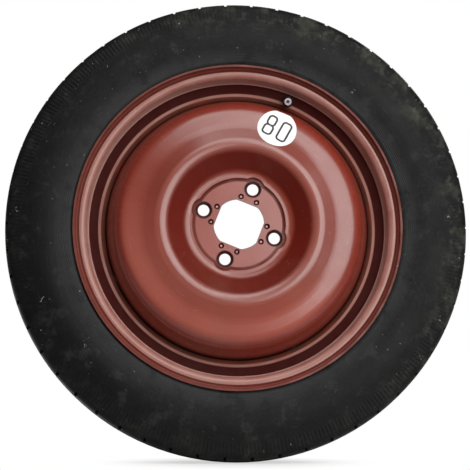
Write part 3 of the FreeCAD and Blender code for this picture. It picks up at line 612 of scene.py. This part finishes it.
def keep_normals(mesh, source):
    """Give a cut mesh the corner normals of the mesh it came from. New corners take their face's normal."""
    def spot(host, corner):
        vertex = host.vertices[host.loops[corner].vertex_index]
        return tuple(round(value, SAME_SPOT_DIGITS) for value in vertex.co)

    known = {}
    for face in source.polygons:
        for corner in face.loop_indices:
            pair = (face.normal.copy(), source.corner_normals[corner].vector.copy())
            known.setdefault(spot(source, corner), []).append(pair)
    normals = []
    for face in mesh.polygons:
        for corner in face.loop_indices:
            pairs = known.get(spot(mesh, corner), [])
            nearest = max(pairs, key=lambda pair: pair[0].dot(face.normal), default=None)
            alike = nearest is not None and nearest[0].dot(face.normal) > SAME_FACE
            normals.append(nearest[1] if alike else face.normal.copy())
    mesh.normals_split_custom_set(normals)


def cut_disc():
    """The wheel disc with the dimples beside the left, lower and right bolts."""
    source = nodes["wheel_disc"].data
    turns = [BOLT_ANGLE + quarter * math.pi / 2 - DIMPLE_SPREAD for quarter in MISSING_QUARTERS]
    blank = add_piece("disc_blank", source.copy())
    cutter = add_piece("dimple_cutter", dimple_cutter(turns))
    cut = blank.modifiers.new("cut", "BOOLEAN")
    cut.operation = "DIFFERENCE"
    cut.solver = "EXACT"
    cut.object = cutter
    graph = bpy.context.evaluated_depsgraph_get()
    mesh = bpy.data.meshes.new_from_object(blank.evaluated_get(graph))
    for piece in (blank, cutter):
        bpy.data.objects.remove(piece)
    keep_normals(mesh, source)
    mesh.materials.clear()
    mesh.materials.append(FINISHES["wheel_paint"])
    stand_in("wheel_disc", "dimpled_disc", mesh)


def wind_spring():
    """A copy of the valve's spring, shown in place of the CAD node."""
    joint = next(row for row in frame["record"]["behaviour"]["joints"] if row["name"] == "valve_pin")
    fixed = Vector(joint["deforming_nodes"][0]["fixed_end_m"])
    axis = Vector(joint["axis"])
    mesh = nodes["core_spring"].data.copy()
    spring = stand_in("core_spring", "wound_spring", mesh)
    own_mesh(spring)


cut_disc()
wind_spring()


# Sticker print: the figures 8 and 0 as rounded strokes laid on the sticker

STROKE = 0.0025
FIGURE_WIDTH = 0.0121
FIGURE_HEIGHT = 0.0272
FIGURE_CORNER = 0.0040
FIGURE_GAP = 0.0086
UPPER_LOOP_SHARE = 0.88
CORNER_STEPS = 6
PRINT_TURN = math.radians(-7)
PRINT_LIFT = 0.00012
INWARD = Vector((0, 1, 0))
RAY_START = 0.1


def rounded_box(centre_x, low, high, width):
    """Points round a box with rounded corners."""
    points = []
    for turn, (side_x, side_y) in enumerate(((1, 1), (-1, 1), (-1, -1), (1, -1))):
        x = centre_x + side_x * (width / 2 - FIGURE_CORNER)
        y = (high - FIGURE_CORNER) if side_y > 0 else (low + FIGURE_CORNER)
        for step in range(CORNER_STEPS + 1):
            angle = math.radians(90 * (turn + step / CORNER_STEPS))
            points.append(Vector((x + FIGURE_CORNER * math.cos(angle), y + FIGURE_CORNER * math.sin(angle))))
    return points


def stroke_mesh(name, loops, to_surface):
    """Closed strips of one stroke width, laid on a surface."""
    section = ((1, PRINT_LIFT), (-1, PRINT_LIFT), (-1, 0.0), (1, 0.0))
    sides = len(section)
    vertices, faces = [], []
    for loop in loops:
        first = len(vertices)
        count = len(loop)
        for index, point in enumerate(loop):
            along = (loop[(index + 1) % count] - loop[index - 1]).normalized()
            across = Vector((-along.y, along.x)) * (STROKE / 2)
            vertices += [to_surface(point + across * side, lift) for side, lift in section]
        for index in range(count):
            here = first + sides * index
            ahead = first + sides * ((index + 1) % count)
            for edge in range(sides):
                after = (edge + 1) % sides
                faces.append((here + edge, here + after, ahead + after, ahead + edge))
    mesh = bpy.data.meshes.new(name)
    mesh.from_pydata(vertices, [], faces)
    mesh.update()
    return mesh


def print_sticker():
    """The two figures, upright along the line from the axle to the valve, nearly."""
    low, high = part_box("speed_sticker")
    centre = (Vector(low) + Vector(high)) / 2
    upward = BOLT_ANGLE + PRINT_TURN
    outward = Vector((math.cos(upward), 0, math.sin(upward)))
    sideways = Vector((math.sin(upward), 0, -math.cos(upward)))
    tree = BVHTree.FromObject(nodes["speed_sticker"], bpy.context.evaluated_depsgraph_get())

    def to_surface(point, lift):
        start = centre + sideways * point.x + outward * point.y - INWARD * RAY_START
        return tree.ray_cast(start, INWARD)[0] - INWARD * lift

    half = FIGURE_HEIGHT / 2
    right = (FIGURE_WIDTH + FIGURE_GAP) / 2
    loops = [
        rounded_box(-right, 0, half, FIGURE_WIDTH * UPPER_LOOP_SHARE),
        rounded_box(-right, -half, 0, FIGURE_WIDTH),
        rounded_box(right, -half, half, FIGURE_WIDTH),
    ]
    figures = add_piece("sticker_print", stroke_mesh("sticker_print", loops, to_surface))
    figures.data.materials.append(INK)
    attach(figures, "wheel")


print_sticker()


# Stage: a pale floor under the tyre, soft lights and a white surround

FLOOR_HALF_WIDTH = 6.0
FLOOR_BACK = 6.0
FLOOR_BEFORE_TYRE = 0.22
FLOOR_MIRRORED = 0.3
SHADOW_REACH = (0.05, 0.2)
SHADOW_GLOW = 0.6
EVEN_LIGHT = 0.12
MIRRORED_FROM, MIRRORED_FULL = 0.6, 0.9
# Name, azimuth and elevation in degrees, distance, width, height, power in watts
SOFTBOXES = (
    ("key", 27, 12, 2.2, 1.7, 1.95, 42.0),
    ("top", 0, 46, 2.2, 1.2, 1.1, 16.0),
    ("back", 150, 30, 2.4, 1.5, 1.5, 26.0),
)
CAMERA_PLACE = Vector((-0.0921, TYRE_MIDDLE - 1.5, -0.244))
CAMERA_AIM = Vector((-0.0016, TYRE_MIDDLE, -0.0049))
SENSOR_WIDTH = 36.0
FOCAL_PIXELS = 1113.5
PICTURE_PIXELS = 470


def seen_white(tree, behind):
    """One for rays from the camera, and for mirrored or clear ones as far as they meet what is behind."""
    def maths(operation, first, second):
        node = tree.nodes.new("ShaderNodeMath")
        node.operation = operation
        tree.links.new(first, node.inputs[0])
        tree.links.new(second, node.inputs[1])
        return node.outputs[0]

    paths = tree.nodes.new("ShaderNodeLightPath").outputs
    mirrored = maths("MAXIMUM", paths["Is Glossy Ray"], paths["Is Transmission Ray"])
    return maths("MAXIMUM", paths["Is Camera Ray"], maths("MULTIPLY", mirrored, behind))


def floor_plane():
    """A flat rectangle under the tyre that reaches far behind it."""
    near = TYRE_MIDDLE - FLOOR_BEFORE_TYRE
    corners = [(-1, near), (1, near), (1, FLOOR_BACK), (-1, FLOOR_BACK)]
    mesh = bpy.data.meshes.new("floor")
    mesh.from_pydata([(side * FLOOR_HALF_WIDTH, y, FLOOR_LEVEL) for side, y in corners], [], [(0, 1, 2, 3)])
    return add_piece("floor", mesh)


def make_floor():
    """White floor that keeps the shadow near the wheel and meets the white surround far away."""
    floor = floor_plane()
    g = Graph("floor_white")
    g.set("Base Color", FLOOR_WHITE)
    g.set("Roughness", 0.9)
    g.set("Specular IOR Level", 0.0)
    x, y, _ = g.parts(g.place)
    away = g.length(x, g.maths("SUBTRACT", y, TYRE_MIDDLE))
    glow = g.add("ShaderNodeEmission")
    glow.inputs["Strength"].default_value = 1.0
    blend = g.add("ShaderNodeMixShader")
    seen = seen_white(g.tree, g.ramp(y, TYRE_MIDDLE, TYRE_MIDDLE + FLOOR_MIRRORED))
    g.feed(blend.inputs[0], g.times(seen, g.ramp(away, *SHADOW_REACH, SHADOW_GLOW, 1.0)))
    g.feed(blend.inputs[1], g.shader.outputs[0])
    g.feed(blend.inputs[2], glow.outputs[0])
    g.feed(g.tree.nodes["Material Output"].inputs["Surface"], blend.outputs[0])
    floor.data.materials.append(g.material)


def add_softbox(name, azimuth, elevation, distance, width, height, power):
    """A soft rectangular lamp aimed at the wheel, placed by angles from the axle's front end."""
    light = bpy.data.lights.new(name, "AREA")
    light.shape = "RECTANGLE"
    light.size = width
    light.size_y = height
    light.energy = power
    azimuth, elevation = math.radians(azimuth), math.radians(elevation)
    level = math.cos(elevation)
    towards = Vector((level * math.sin(azimuth), -level * math.cos(azimuth), math.sin(elevation)))
    softbox = add_piece(name, light)
    softbox.location = towards * distance
    softbox.rotation_euler = (-towards).to_track_quat("-Z", "Y").to_euler()


def make_surround():
    """White behind the wheel, straight or mirrored, and a faint even light from everywhere."""
    world = bpy.data.worlds.new("surround")
    bpy.context.scene.world = world
    world.use_nodes = True
    tree = world.node_tree
    background = tree.nodes["Background"]
    background.inputs["Color"].default_value = (1.0, 1.0, 1.0, 1.0)
    towards = tree.nodes.new("ShaderNodeSeparateXYZ")
    tree.links.new(tree.nodes.new("ShaderNodeTexCoord").outputs["Generated"], towards.inputs[0])
    behind = tree.nodes.new("ShaderNodeMapRange")
    tree.links.new(towards.outputs[1], behind.inputs[0])
    behind.inputs[1].default_value = MIRRORED_FROM
    behind.inputs[2].default_value = MIRRORED_FULL
    strength = tree.nodes.new("ShaderNodeMapRange")
    tree.links.new(seen_white(tree, behind.outputs[0]), strength.inputs[0])
    strength.inputs[3].default_value = EVEN_LIGHT
    strength.inputs[4].default_value = 1.0
    tree.links.new(strength.outputs[0], background.inputs["Strength"])


def make_camera():
    """The camera of the photo's view."""
    camera = add_piece("camera", bpy.data.cameras.new("camera"))
    camera.location = CAMERA_PLACE
    camera.rotation_euler = (CAMERA_AIM - CAMERA_PLACE).to_track_quat("-Z", "Y").to_euler()
    camera.data.sensor_width = SENSOR_WIDTH
    camera.data.lens = SENSOR_WIDTH * FOCAL_PIXELS / PICTURE_PIXELS
    bpy.context.scene.camera = camera


make_floor()
make_surround()
for settings in SOFTBOXES:
    add_softbox(*settings)
make_camera()
bpy.context.scene.view_settings.view_transform = "Standard"
